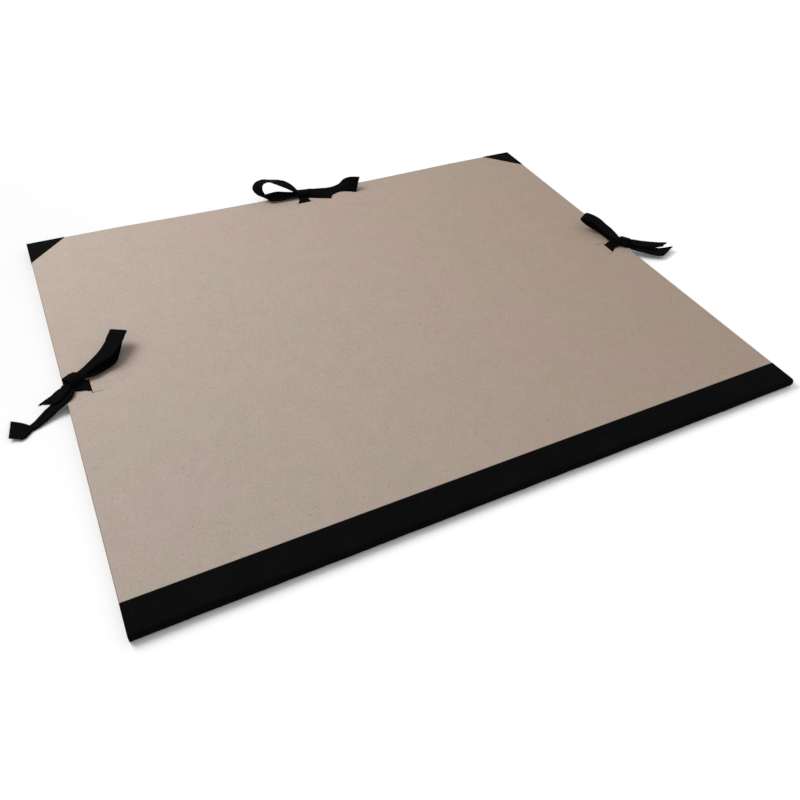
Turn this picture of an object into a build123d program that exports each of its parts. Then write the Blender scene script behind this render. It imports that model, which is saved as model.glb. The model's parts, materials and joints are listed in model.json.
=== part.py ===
"""Drawing portfolio: two grey boards, a bookcloth spine, cloth corners and three tape ties.

The origin is the middle of the back spine band's underside, on the surface that the portfolio
rests on. X runs along the spine, +Y from the spine to the mouth, +Z up to the cover.
"""
import os
from math import cos, radians, sin

from build123d import *

# Boards
BOARD_LENGTH = 720.0          # along the spine
COVER_DEPTH = 590.0           # from the spine's outside to the mouth edge
BOARD_THICK = 2.0
POCKET_GAP = 5.0              # room for paper between the two boards

# Bookcloth
CLOTH_THICK = 0.4
SPINE_BAND = 33.0             # cloth shown on each cover, from the spine's outside
HINGE_MARGIN = 0.6            # from the cloth's turn to the board's edge
LINING_BAND = 50.0            # reach of the inner lining, from the spine's outside
CORNER_LEG = 45.0             # side of the cloth triangle on the outer face
CORNER_TURN_IN = 15.0         # width turned over on to the inner face

# Tapes, and the U-shaped cuts that they come out of
TAPE_WIDTH = 20.0
TAPE_THICK = 0.4
TAPE_GLUED = 22.0             # end glued on the inner face
CUT_INSET = 25.0              # from the main cut to the board's edge
CUT_LENGTH = 25.0
CUT_WIDTH = 1.0
END_CUT_LENGTH = 11.0         # the short cuts that run inward from its ends
END_CUT_WIDTH = 0.6

# Knots
KNOT_WIDTH = 12.6
KNOT_HEIGHT = 7.0
KNOT_LENGTH = 15.0
KNOT_CORNER = 3.0             # rounding of the knot's section
KNOT_TAPER = 1.6              # bevel round the knot's two ends
WRAP_LENGTH = 11.0            # the turn of tape that binds the knot
WRAP_RISE = 0.8
WRAP_SLANT = -10.0            # degrees
GATHERED = 0.5                # share of its width that a tape keeps in the knot
STRAND_GAP = 1.2              # between two tapes that leave the knot together

# Clearances
SEAT = 0.1                    # between soft pieces that rest on each other
EDGE_CLEAR = 0.3              # from the back tapes to the boards' edges

# Levels, from the surface that the portfolio rests on
BACK_OUTER = CLOTH_THICK
BACK_INNER = BACK_OUTER + BOARD_THICK
FRONT_INNER = BACK_INNER + POCKET_GAP
FRONT_OUTER = FRONT_INNER + BOARD_THICK
TOP = FRONT_OUTER + CLOTH_THICK
MIDDLE = TOP / 2              # the hinge line's height and the spine's outer radius
KNOT_UP = TAPE_THICK + SEAT + KNOT_HEIGHT / 2

# Places
SPINE_Y = -(SPINE_BAND + MIDDLE) / 2
MOUTH_Y = SPINE_Y + COVER_DEPTH
BOARD_Y = SPINE_Y + MIDDLE + HINGE_MARGIN
BOARD_DEPTH = MOUTH_Y - BOARD_Y
SIDE_X = BOARD_LENGTH / 2
SIDE_MIDDLE_Y = SPINE_Y + COVER_DEPTH / 2
MID_PLANE = Plane.XY.offset(MIDDLE)


def keep(piece, name):
    """Label a finished piece and write it to its own file."""
    piece.part.label = name
    export_step(piece.part, f"parts/{name}.step")


class Tie:
    """One place where the covers are tied, with its frame at the middle of a board edge.

    In the frame X points out from the board, Y runs along the edge and Z is the height above the
    cover's outer face. Directions are angles in degrees from X.
    """

    def __init__(self, name, edge, outward, cut_along, riser_along, knot, knot_heading):
        self.name = name
        self.frame = Plane(origin=edge, x_dir=outward, z_dir=(0, 0, 1))
        self.cut_along = cut_along
        self.riser_along = riser_along
        self.knot = knot
        self.knot_heading = knot_heading

    def level(self, height):
        """The tie's frame, raised to a height above the resting surface."""
        return self.frame.offset(height)

    def point(self, out, along, up):
        return self.frame.from_local_coords(Vector(out, along, FRONT_OUTER + up))

    def direction(self, heading, tilt=0.0):
        """A direction that points along a heading and climbs by a tilt."""
        flat = self.frame.x_dir * cos(radians(heading)) + self.frame.y_dir * sin(radians(heading))
        return flat * cos(radians(tilt)) + Vector(0, 0, 1) * sin(radians(tilt))

    def knot_plane(self, turn=0.0, up=KNOT_UP):
        """Plane across the knot's middle, square to the way that the tapes run through it."""
        heading = self.knot_heading + turn
        across = self.direction(heading - 90)
        return Plane(origin=self.point(*self.knot, up), x_dir=across, z_dir=self.direction(heading))

    def knot_exit(self, side, layer):
        """Station at one end of the knot, +1 for the tails and -1 for the loop."""
        reach = side * ((KNOT_LENGTH + TAPE_THICK) / 2 + SEAT)
        out = self.knot[0] + reach * cos(radians(self.knot_heading))
        along = self.knot[1] + reach * sin(radians(self.knot_heading))
        return (out, along, KNOT_UP + layer * STRAND_GAP / 2, self.knot_heading + 90, 0, GATHERED)


LEFT = Tie("left", (-SIDE_X, SIDE_MIDDLE_Y, 0), (-1, 0, 0), -1.5, -3, (-9.5, -10), 45)
MOUTH = Tie("mouth", (0, MOUTH_Y, 0), (0, 1, 0), -4, -6, (-6, -6), -90)
RIGHT = Tie("right", (SIDE_X, SIDE_MIDDLE_Y, 0), (1, 0, 0), 4.2, 2, (-2.5, 4.2), -50)
TIES = [LEFT, MOUTH, RIGHT]


def board(level):
    """A sheet of grey board with a U-shaped cut for each tape."""
    with BuildPart() as piece:
        with BuildSketch(Plane.XY.offset(level)):
            with Locations((0, BOARD_Y + BOARD_DEPTH / 2)):
                Rectangle(BOARD_LENGTH, BOARD_DEPTH)
        extrude(amount=BOARD_THICK)
        for tie in TIES:
            end_cut = (CUT_LENGTH - END_CUT_WIDTH) / 2
            with BuildSketch(tie.level(level)):
                with Locations((-CUT_INSET, tie.cut_along)):
                    Rectangle(CUT_WIDTH, CUT_LENGTH)
                with Locations(
                    (-CUT_INSET, tie.cut_along - end_cut),
                    (-CUT_INSET, tie.cut_along + end_cut),
                ):
                    Rectangle(END_CUT_LENGTH, END_CUT_WIDTH, align=(Align.MAX, Align.CENTER))
            extrude(amount=BOARD_THICK, mode=Mode.SUBTRACT)
    return piece


def spine_cloth():
    """The back half of the spine cloth: a band under the board and a quarter turn to the hinge."""
    inner = MIDDLE - CLOTH_THICK
    turn_y = SPINE_Y + MIDDLE
    with BuildPart() as piece:
        with BuildSketch(Plane.YZ.offset(-SIDE_X)):
            with BuildLine():
                Polyline((turn_y, 0), (SPINE_Y + SPINE_BAND, 0), (SPINE_Y + SPINE_BAND, CLOTH_THICK),
                         (turn_y, CLOTH_THICK))
                RadiusArc((turn_y, CLOTH_THICK), (SPINE_Y + CLOTH_THICK, MIDDLE), inner)
                Line((SPINE_Y + CLOTH_THICK, MIDDLE), (SPINE_Y, MIDDLE))
                RadiusArc((SPINE_Y, MIDDLE), (turn_y, 0), -MIDDLE)
            make_face()
        extrude(amount=BOARD_LENGTH)
    return piece


def hinge_lining():
    """The back half of the inner strip: inside the spine, up the board's edge and on to its face."""
    outer = MIDDLE - CLOTH_THICK
    inner = outer - CLOTH_THICK
    turn_y = SPINE_Y + MIDDLE
    reach_y = SPINE_Y + LINING_BAND
    low = BACK_OUTER + CLOTH_THICK
    high = BACK_INNER + CLOTH_THICK
    with BuildPart() as piece:
        with BuildSketch(Plane.YZ.offset(-SIDE_X)):
            with BuildLine():
                Polyline((turn_y, BACK_OUTER), (BOARD_Y, BACK_OUTER), (BOARD_Y, BACK_INNER),
                         (reach_y, BACK_INNER), (reach_y, high), (BOARD_Y - CLOTH_THICK, high),
                         (BOARD_Y - CLOTH_THICK, low), (turn_y, low))
                RadiusArc((turn_y, low), (SPINE_Y + 2 * CLOTH_THICK, MIDDLE), inner)
                Line((SPINE_Y + 2 * CLOTH_THICK, MIDDLE), (SPINE_Y + CLOTH_THICK, MIDDLE))
                RadiusArc((SPINE_Y + CLOTH_THICK, MIDDLE), (turn_y, BACK_OUTER), -outer)
            make_face()
        extrude(amount=BOARD_LENGTH)
    return piece


def corner_cloth():
    """Cloth over the back board's left corner, turned over both edges and mitred inside."""
    wrap = CORNER_LEG + CORNER_TURN_IN
    corner = Plane(origin=(-SIDE_X, MOUTH_Y, 0), x_dir=(1, 0, 0), z_dir=(0, 0, 1))
    with BuildPart() as piece:
        with BuildSketch(corner):
            Polygon((-CLOTH_THICK, CLOTH_THICK), (CORNER_LEG, CLOTH_THICK), (CORNER_LEG, 0),
                    (0, -CORNER_LEG), (-CLOTH_THICK, -CORNER_LEG), align=None)
        extrude(amount=CLOTH_THICK)
        with BuildSketch(corner):
            Polygon((-CLOTH_THICK, CLOTH_THICK), (CORNER_LEG, CLOTH_THICK), (CORNER_LEG, 0),
                    (0, 0), (0, -CORNER_LEG), (-CLOTH_THICK, -CORNER_LEG), align=None)
        extrude(amount=BACK_INNER + CLOTH_THICK)
        with BuildSketch(corner.offset(BACK_INNER)):
            Polygon((0, 0), (CORNER_LEG, 0), (wrap, -CORNER_TURN_IN),
                    (CORNER_TURN_IN, -CORNER_TURN_IN), (CORNER_TURN_IN, -wrap), (0, -CORNER_LEG),
                    align=None)
        extrude(amount=CLOTH_THICK)
    return piece


def mirrored(source, plane):
    with BuildPart() as piece:
        mirror(source.part, about=plane)
    return piece


def strip_corners(tie, reach, end_along, end_width):
    """Corners of a tape's outer stretch, from its cut out to where it is gathered."""
    start = -CUT_INSET - TAPE_THICK / 2
    half = TAPE_WIDTH / 2
    return [(start, tie.cut_along - half), (reach, end_along - end_width / 2),
            (reach, end_along + end_width / 2), (start, tie.cut_along + half)]


def front_tape(tie):
    """Tape glued inside the cover, out through its cut and on to the knot."""
    with BuildPart() as piece:
        with BuildSketch(tie.level(FRONT_OUTER)):
            Polygon(*strip_corners(tie, *tie.knot, TAPE_WIDTH * GATHERED), align=None)
        extrude(amount=TAPE_THICK)
        with BuildSketch(tie.level(FRONT_INNER - TAPE_THICK)):
            with Locations((-CUT_INSET, tie.cut_along)):
                Rectangle(TAPE_THICK, TAPE_WIDTH)
        extrude(amount=BOARD_THICK + 2 * TAPE_THICK)
        with BuildSketch(tie.level(FRONT_INNER - TAPE_THICK)):
            with Locations((-CUT_INSET, tie.cut_along)):
                Rectangle(TAPE_GLUED, TAPE_WIDTH, align=(Align.MAX, Align.CENTER))
        extrude(amount=TAPE_THICK)
    return piece


def back_tape(tie):
    """Tape glued inside the back, out through its cut, under the board and up past both edges."""
    edge_width = TAPE_WIDTH * (1 + GATHERED) / 2
    reach = EDGE_CLEAR + CLOTH_THICK + TAPE_THICK
    with BuildPart() as piece:
        with BuildSketch(tie.level(BACK_OUTER - TAPE_THICK)):
            Polygon(*strip_corners(tie, reach, tie.riser_along, edge_width), align=None)
        extrude(amount=TAPE_THICK)
        with BuildSketch(tie.level(BACK_OUTER - TAPE_THICK)):
            with Locations((reach, tie.riser_along)):
                Rectangle(TAPE_THICK, edge_width, align=(Align.MAX, Align.CENTER))
        extrude(amount=TOP - BACK_OUTER + TAPE_THICK)
        with BuildSketch(tie.level(BACK_OUTER - TAPE_THICK)):
            with Locations((-CUT_INSET, tie.cut_along)):
                Rectangle(TAPE_THICK, TAPE_WIDTH)
        extrude(amount=BOARD_THICK + 2 * TAPE_THICK)
        with BuildSketch(tie.level(BACK_INNER)):
            with Locations((-CUT_INSET, tie.cut_along)):
                Rectangle(TAPE_GLUED, TAPE_WIDTH, align=(Align.MAX, Align.CENTER))
        extrude(amount=TAPE_THICK)
    return piece


def knot(tie):
    """The knot's rounded body, with the slanted turn of tape that binds it."""
    run = Axis(tie.point(*tie.knot, KNOT_UP), tie.direction(tie.knot_heading))
    with BuildPart() as piece:
        with BuildSketch(tie.knot_plane()):
            RectangleRounded(KNOT_WIDTH, KNOT_HEIGHT, KNOT_CORNER)
        extrude(amount=KNOT_LENGTH / 2, both=True)
        chamfer(piece.faces().filter_by(run).edges(), KNOT_TAPER)
        with BuildSketch(tie.knot_plane(WRAP_SLANT, KNOT_UP + WRAP_RISE)):
            RectangleRounded(KNOT_WIDTH + 2 * WRAP_RISE, KNOT_HEIGHT + 2 * WRAP_RISE,
                             KNOT_CORNER + WRAP_RISE)
        extrude(amount=WRAP_LENGTH / 2, both=True)
    return piece


def ribbon(tie, stations):
    """A free tape through its stations, from one end to the other.

    Each station is (out, along, up, heading, tilt, share): its middle, the way that the tape's
    width points, and the share of its width that it spreads to there. The span between two
    stations is two flat halves that meet on its diagonal, so the tape stays thin where it twists.
    """
    middles = [tie.point(*station[:3]) for station in stations]
    edges = []
    for i, (_, _, _, heading, tilt, share) in enumerate(stations):
        run = middles[min(i + 1, len(middles) - 1)] - middles[max(i - 1, 0)]
        across = tie.direction(heading, tilt)
        side = across * TAPE_WIDTH * share / 2
        rise = run.cross(across).normalized() * TAPE_THICK / 2
        first, second = middles[i] - side, middles[i] + side
        edges.append(([first - rise, first + rise], [second - rise, second + rise]))
    with BuildPart() as piece:
        for (first, second), (next_first, next_second) in zip(edges, edges[1:]):
            ConvexPolyhedron(first + second + next_first)
            ConvexPolyhedron(second + next_first + next_second)
    return piece


# Each loop goes out along its lower strand, folds over and comes back above it
LEFT_LOOP = [
    LEFT.knot_exit(-1, -1), (-21, -15, 3.4, 116, 0, 0.62), (-30.5, -17, 3, 116, 0, 0.75),
    (-39.2, -22.6, 2.8, 118, 0, 0.9), (-49, -26.6, 4.2, 130, 0, 0.9),
    (-54.6, -36.2, 7, 147, 0, 0.9), (-57.8, -42.7, 9.6, 151, 0, 0.9),
    (-63.4, -53.2, 12.8, 151, 0, 0.88), (-67.9, -58.5, 14.4, 151, 0, 0.87),
    (-68.5, -59.5, 15.5, 151, 0, 0.87), (-67.9, -58.5, 16.5, 151, 0, 0.87),
    (-62.3, -47.2, 16.5, 146, 0, 0.87), (-55.9, -37.6, 15.4, 138, 0, 0.85),
    (-49.4, -30.2, 14, 132, 0, 0.83), (-41.3, -25.7, 12, 121, 0, 0.7),
    (-32.7, -22.6, 9.5, 112, 0, 0.56), (-24.5, -18.1, 7.5, 108, 0, 0.5), LEFT.knot_exit(-1, 1),
]
MOUTH_LOOP = [
    MOUTH.knot_exit(-1, -1), (-7, 6.1, 4.6, -14, 8, 0.6), (-5, 17.5, 4.9, -14, 13, 0.75),
    (-3.5, 30.6, 5.9, -9, 15, 0.88), (-2, 39.4, 5.3, -1, 5, 0.9), (0, 46, 5.6, 14, -8, 0.9),
    (2.5, 51.2, 11, 30, -12, 0.9), (5, 54.2, 19, 33, -9, 0.9), (6.5, 51.4, 25.2, 22, -13, 0.9),
    (7.5, 42.4, 27.9, 15, -14, 0.9), (7, 31.1, 24.2, 4, -8, 0.9), (5.5, 20.9, 19.9, -8, 2, 0.86),
    (2, 12.7, 16, -13, 12, 0.76), (-2, 7.5, 10.8, -16, 14, 0.6), MOUTH.knot_exit(-1, 1),
]
RIGHT_LOOP = [
    RIGHT.knot_exit(-1, -1), (-9, 18.5, 3, 32, 0, 0.75), (-7.5, 31, 2.4, 28, 0, 0.9),
    (-10, 42.5, 3.6, 28, 0, 0.9), (-17.5, 50.5, 7.4, 28, 0, 0.9), (-23.5, 58, 11.2, 30, 0, 0.9),
    (-26, 63, 14.2, 32, 0, 0.9), (-26.4, 63.6, 15.4, 32, 0, 0.9), (-25.6, 62.6, 16.6, 32, 0, 0.9),
    (-20.5, 55, 17.2, 28, 0, 0.9), (-15.6, 46, 15.7, 28, 0, 0.9), (-12.6, 35.6, 13, 28, 0, 0.9),
    (-8.4, 23.6, 9.6, 30, 0, 0.85), RIGHT.knot_exit(-1, 1),
]

# Tails, from the knot to the cut end
LEFT_LONG_TAIL = [
    LEFT.knot_exit(1, -1), (-1.5, 6.6, 3, 125, 0, 0.68), (5.4, 11.4, 1, 118, 0, 0.7),
    (11.9, 14.7, -1.5, 122, 0, 0.58), (19.7, 18.7, -4, 120, 0, 0.58), (26.8, 23, -5.8, 114, 0, 0.52),
    (32.5, 26.8, -7, 112, 0, 0.45), (37.4, 29.2, -7.4, 90, 0, 0.45), (42.6, 33.2, -7.2, 66, 0, 0.85),
    (48.8, 29.6, -6.6, 68, 0, 1), (55.7, 26.2, -5.4, 79, 0, 1.12),
]
LEFT_SHORT_TAIL = [
    LEFT.knot_exit(1, 1), (0.3, 2, 5, 96, 0, 0.6), (5.7, 4.8, 3.4, 101, 0, 0.72),
    (12.5, 7.6, 1.6, 112, 0, 0.6), (16.2, 8.5, 0.4, 134, 0, 0.62), (19.7, 9.8, -0.6, 158, 0, 0.7),
]
MOUTH_LONG_TAIL = [
    MOUTH.knot_exit(1, 1), (-7.8, -23.8, 5.4, -17, 11, 0.78), (-10.6, -34.2, 4.6, -13, 13, 0.88),
    (-11.2, -44.4, 3.6, -11, 10, 0.9), (-9, -54.7, 2.8, -18, 9, 0.91), (-7, -62.9, 3.5, -24, 14, 0.9),
    (-8, -68.4, 6.2, -22, 30, 0.98), (-13, -74.6, 9.2, -22, 48, 1), (-19.4, -85.4, 9.6, -43, 49, 1.1),
]
MOUTH_SHORT_TAIL = [
    MOUTH.knot_exit(1, -1), (-12.5, -26, 2, -34, 5, 0.76), (-16.5, -37.4, 1.5, -36, 4, 0.9),
    (-20.3, -47.2, 0.8, -34, 1, 0.95),
]
RIGHT_LONG_TAIL = [
    RIGHT.knot_exit(1, -1), (7, -4.6, 2.6, 40, 0, 0.82), (18, -12.4, 0.6, 46, 0, 0.95),
    (29, -19.4, -1.8, 48, 0, 1), (39, -25.2, -3.6, 44, 0, 1), (50.5, -28.2, -4.6, 24, 4, 1.35),
]
RIGHT_SHORT_TAIL = [
    RIGHT.knot_exit(1, 1), (6.1, -1, 5.6, 40, 0, 0.68), (18.9, -8.4, 4.4, 42, 0, 0.75),
    (31.5, -14.2, 3.2, 40, 0, 0.76), (44.5, -17.4, 1.8, 36, 0, 0.66), (54.6, -19.1, 1, 24, 0, 0.6),
]

os.makedirs("parts", exist_ok=True)

keep(board(BACK_OUTER), "back_board")
keep(board(FRONT_INNER), "front_board")

spine_back = spine_cloth()
lining_back = hinge_lining()
keep(spine_back, "spine_cloth_back")
keep(mirrored(spine_back, MID_PLANE), "spine_cloth_front")
keep(lining_back, "hinge_lining_back")
keep(mirrored(lining_back, MID_PLANE), "hinge_lining_front")

corner_left = corner_cloth()
corner_right = mirrored(corner_left, Plane.YZ)
keep(corner_left, "corner_cloth_back_left")
keep(corner_right, "corner_cloth_back_right")
keep(mirrored(corner_left, MID_PLANE), "corner_cloth_front_left")
keep(mirrored(corner_right, MID_PLANE), "corner_cloth_front_right")

for tie in TIES:
    keep(front_tape(tie), f"{tie.name}_front_tape")
    keep(back_tape(tie), f"{tie.name}_back_tape")
    keep(knot(tie), f"{tie.name}_knot")

keep(ribbon(LEFT, LEFT_LOOP), "left_loop")
keep(ribbon(LEFT, LEFT_LONG_TAIL), "left_long_tail")
keep(ribbon(LEFT, LEFT_SHORT_TAIL), "left_short_tail")
keep(ribbon(MOUTH, MOUTH_LOOP), "mouth_loop")
keep(ribbon(MOUTH, MOUTH_LONG_TAIL), "mouth_long_tail")
keep(ribbon(MOUTH, MOUTH_SHORT_TAIL), "mouth_short_tail")
keep(ribbon(RIGHT, RIGHT_LOOP), "right_loop")
keep(ribbon(RIGHT, RIGHT_LONG_TAIL), "right_long_tail")
keep(ribbon(RIGHT, RIGHT_SHORT_TAIL), "right_short_tail")
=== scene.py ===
"""Looks of a drawing portfolio, tied shut with three tapes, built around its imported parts."""

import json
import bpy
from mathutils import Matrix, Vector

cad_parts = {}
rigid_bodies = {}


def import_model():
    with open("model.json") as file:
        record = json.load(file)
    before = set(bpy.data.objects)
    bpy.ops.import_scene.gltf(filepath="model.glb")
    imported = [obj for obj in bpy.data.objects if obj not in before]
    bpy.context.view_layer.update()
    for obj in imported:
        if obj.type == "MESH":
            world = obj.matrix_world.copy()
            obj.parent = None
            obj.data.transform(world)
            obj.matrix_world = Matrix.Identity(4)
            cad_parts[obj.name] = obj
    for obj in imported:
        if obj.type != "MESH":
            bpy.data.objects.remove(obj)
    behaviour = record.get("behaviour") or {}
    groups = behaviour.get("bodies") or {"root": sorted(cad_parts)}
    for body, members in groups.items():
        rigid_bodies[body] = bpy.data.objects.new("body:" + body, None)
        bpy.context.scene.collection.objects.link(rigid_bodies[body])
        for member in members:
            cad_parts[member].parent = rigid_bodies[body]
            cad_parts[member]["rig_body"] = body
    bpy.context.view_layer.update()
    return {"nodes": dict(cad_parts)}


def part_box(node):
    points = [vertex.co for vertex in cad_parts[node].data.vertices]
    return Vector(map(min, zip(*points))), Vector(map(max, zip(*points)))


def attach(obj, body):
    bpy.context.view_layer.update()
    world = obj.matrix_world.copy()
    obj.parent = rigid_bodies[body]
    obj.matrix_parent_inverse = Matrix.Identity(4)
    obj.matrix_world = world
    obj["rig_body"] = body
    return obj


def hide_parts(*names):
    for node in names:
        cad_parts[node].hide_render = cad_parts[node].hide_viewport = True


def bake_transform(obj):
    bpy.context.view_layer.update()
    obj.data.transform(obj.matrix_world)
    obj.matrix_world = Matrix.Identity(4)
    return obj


bl_info = {
    "name": "Drawing Portfolio",
    "version": (1, 0, 0),
    "blender": (4, 5, 0),
    "location": "View3D > Sidebar > Portfolio",
    "description": "Grey boards, a bookcloth spine, cloth corners and three tapes in half bows",
    "category": "Add Mesh",
}

from math import atan2, cos, pi, radians, sin, tan

import bmesh
import bpy
import numpy as np
from bpy.props import FloatProperty, FloatVectorProperty, PointerProperty

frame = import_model()
MM = 0.001

# Places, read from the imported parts
COVER_LOW, COVER_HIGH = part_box("front_board")
BACK_LOW, BACK_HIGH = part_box("back_board")
SPINE_LOW, SPINE_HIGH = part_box("spine_cloth_back")
LINING_REACH_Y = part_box("hinge_lining_back")[1].y
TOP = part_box("spine_cloth_front")[1].z
CLOTH_THICK = BACK_LOW.z
MIDDLE = TOP / 2
SIDE_X = COVER_HIGH.x
SPINE_Y = SPINE_LOW.y
MOUTH_Y = COVER_HIGH.y
SIDE_MIDDLE_Y = (SPINE_Y + MOUTH_Y) / 2
TURN_Y = SPINE_Y + MIDDLE
BOARD_EDGE_Y = COVER_LOW.y
PRESSED_REACH = 0.75 * SIDE_X     # the cover dips between here and the mirrored place
PRESSED_CELLS = 24                # each way, where the cover's mesh is divided for the dip

SPINE_ROUND = 2.5 * MM            # the ends of the folded spine are rounded by wear
SPINE_FLATNESS = 0.72             # how far the fold stands out, as a share of a round one
BAND_OVER = 0.7 * MM              # how far the bookcloth's edge frays past its place
STRIP_PLACES = 121                # along the spine, where its cloths are shaped

CORNER_SOFTNESS = 0.12 * MM       # rounding of the corner cloths' edges

# Painted sheen: the board's colour drifts along its length from a greyer left side, standing for
# the lamp's reflection there, to a browner right side; its hue also varies in patches
PAINTED_SHEEN_GREY_END = (0.982, 0.996, 1.015)
PAINTED_SHEEN_BROWN_END = (1.012, 0.978, 0.925)
PINKER = (1.014, 0.99, 1.008)
GREENER = (0.986, 1.008, 0.99)
RIM_FROM, RIM_TO = 1.2 * MM, 0.3 * MM    # the darker rim grows between these distances to an edge
THREAD_RELIEF = 0.12 * MM         # depth of the bumps of threads and of the board's fibres
BOARD_GLOSS, COTTON_GLOSS = 0.2, 0.02

# The floor, the lamp and the place that it points to, and the camera
FLOOR_REACH = 6.0
KEY_PLACE = (-0.85, SIDE_MIDDLE_Y + 0.65, 1.15)
KEY_TARGET = (-0.4, SIDE_MIDDLE_Y, 0)
KEY_SIZE = 1.0
CAMERA_PLACE = (-0.32098, SIDE_MIDDLE_Y - 0.61648, 0.53521)
CAMERA_TURN = (45.756, -2.923, -26.678)    # degrees

# The tapes and their knots
TAPE_COLUMNS = 25
TAPE_STEP = 0.7 * MM
TAPE_THICK = 0.4 * MM
GATHERED = 0.5                    # share of its width that a tape keeps in the knot

# Sizes in the ties' frames, in millimetres, with heights above the cover's outer face
BOARD_THICK = 1000 * (COVER_HIGH.z - COVER_LOW.z)
BACK_FACE = 1000 * (BACK_HIGH.z - COVER_HIGH.z)    # height of the back board's inner face
TAPE_HALF = 500 * TAPE_THICK
GLUED_LENGTH = 22.0               # the end glued inside
CUT_INSET = 25.0                  # from a cut to the board's edge
RISER_OUT = 0.3 + 1000 * CLOTH_THICK + TAPE_HALF    # where the back tapes pass the edges
KNOT_LENGTH = 12.0
KNOT_UP = 4.5                     # height of a knot's middle
STRAND_GAP = 1.2                  # between the two strands that leave a knot's end
WRAP_GROWTH = 0.7                 # how much further out the tape lies at the end of its turn
WRAP_ADVANCE = 1.6                # how far it moves along the knot in its turn
WRAP_STEPS = 16                   # stations in one turn
INNER_TURN = (250, 1.1)           # the turn beneath: where it starts in degrees, and its turns
OUTER_TURN = (230, 1.25)          # the same for the turn over it


def unit(vectors):
    return vectors / np.maximum(np.linalg.norm(vectors, axis=-1, keepdims=True), 1e-12)


def pressed(places):
    """Places once the mouth tie has pulled the middle of the cover's mouth edge down."""
    x, y, z = np.moveaxis(places, -1, 0)
    drop = bpy.context.scene.portfolio_boards.mouth_drop
    across = np.clip(1 - (x / PRESSED_REACH) ** 2, 0, None) ** 1.2
    along = np.clip((y - SPINE_Y) / (MOUTH_Y - SPINE_Y), 0, 1) ** 3
    height = np.clip((z - BACK_HIGH.z) / (0.8 * (COVER_LOW.z - BACK_HIGH.z)), 0, 1)
    moved = places.copy()
    moved[..., 2] -= drop * across * along * height
    return moved


class Tie:
    """One place where the covers are tied, with its frame at the middle of a board edge.

    Out runs away from the board, along runs with its edge and up is the height above the
    cover's outer face, all in millimetres. Headings are degrees from out.
    """

    def __init__(self, name, edge, out, cut_along, riser_along, knot, knot_heading):
        self.name = name
        self.origin = np.array([*edge, COVER_HIGH.z])
        self.out = np.array([*out, 0.0])
        self.along = np.cross((0, 0, 1), self.out)
        self.cut_along = cut_along
        self.riser_along = riser_along
        self.knot = knot
        self.knot_heading = knot_heading

    def point(self, out, along, up):
        return self.origin + MM * (self.out * out + self.along * along + np.array((0, 0, up)))

    def direction(self, heading, tilt=0.0):
        flat = self.out * cos(radians(heading)) + self.along * sin(radians(heading))
        return flat * cos(radians(tilt)) + np.array((0, 0, sin(radians(tilt))))

    def knot_exit(self, side, layer, share=GATHERED):
        """Station inside one end of the knot, +1 for the tails and -1 for the loop."""
        reach = side * KNOT_LENGTH / 6
        out = self.knot[0] + reach * cos(radians(self.knot_heading))
        along = self.knot[1] + reach * sin(radians(self.knot_heading))
        return (out, along, KNOT_UP + layer * STRAND_GAP / 2, self.knot_heading + 90, 0, share)


LEFT = Tie("left", (-SIDE_X, SIDE_MIDDLE_Y), (-1, 0), -1.5, -3, (-9.5, -10), 45)
MOUTH = Tie("mouth", (0, MOUTH_Y), (0, 1), -4, -6, (-6, -6), -90)
RIGHT = Tie("right", (SIDE_X, SIDE_MIDDLE_Y), (1, 0), 4.2, 2, (-2.5, 4.2), -50)
TIES = [LEFT, MOUTH, RIGHT]

# Each knot's outer turn of tape and the turn under it: half its width and height, its slant,
# how far it is shifted along the knot, and the share of its width that the tape keeps
WRAPS = {
    LEFT: ((7.6, 5.9, -12, 1.0, 0.5), (5.8, 3.4, 10, -4.6, 0.5)),
    MOUTH: ((6.6, 3.4, -10, 1.8, 0.74), (5.8, 2.8, 14, -6.4, 0.5)),
    RIGHT: ((6.8, 6.1, -4, 2.8, 0.66), (5.8, 4.4, 14, -4.6, 0.5)),
}

# The front tapes' stations between their cuts and their knots
LEADS = {
    LEFT: [(-20.1, -3.3, 1.4, 86, 0, 0.84), (-15, -4.2, 2.2, 82, 0, 0.82),
           (-10.5, -5.5, 3, 76, 0, 0.75), (-7, -7.5, 3.6, 76, 0, 0.6)],
    MOUTH: [(-17.2, -5.3, 1.4, 92, 0, 0.68), (-13.1, -5.5, 2.4, 88, 0, 0.58),
            (-9, -5.8, 3.2, 90, 0, 0.52), (-5.5, -6, 3.8, 90, 0, 0.5)],
    RIGHT: [(-20.8, 5.6, 1.2, 95, 0, 0.78), (-16.5, 7, 2.6, 100, 0, 0.72),
            (-11, 6.4, 4, 100, 0, 0.68), (-6, 5.2, 4.4, 100, 0, 0.55)],
}

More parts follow.
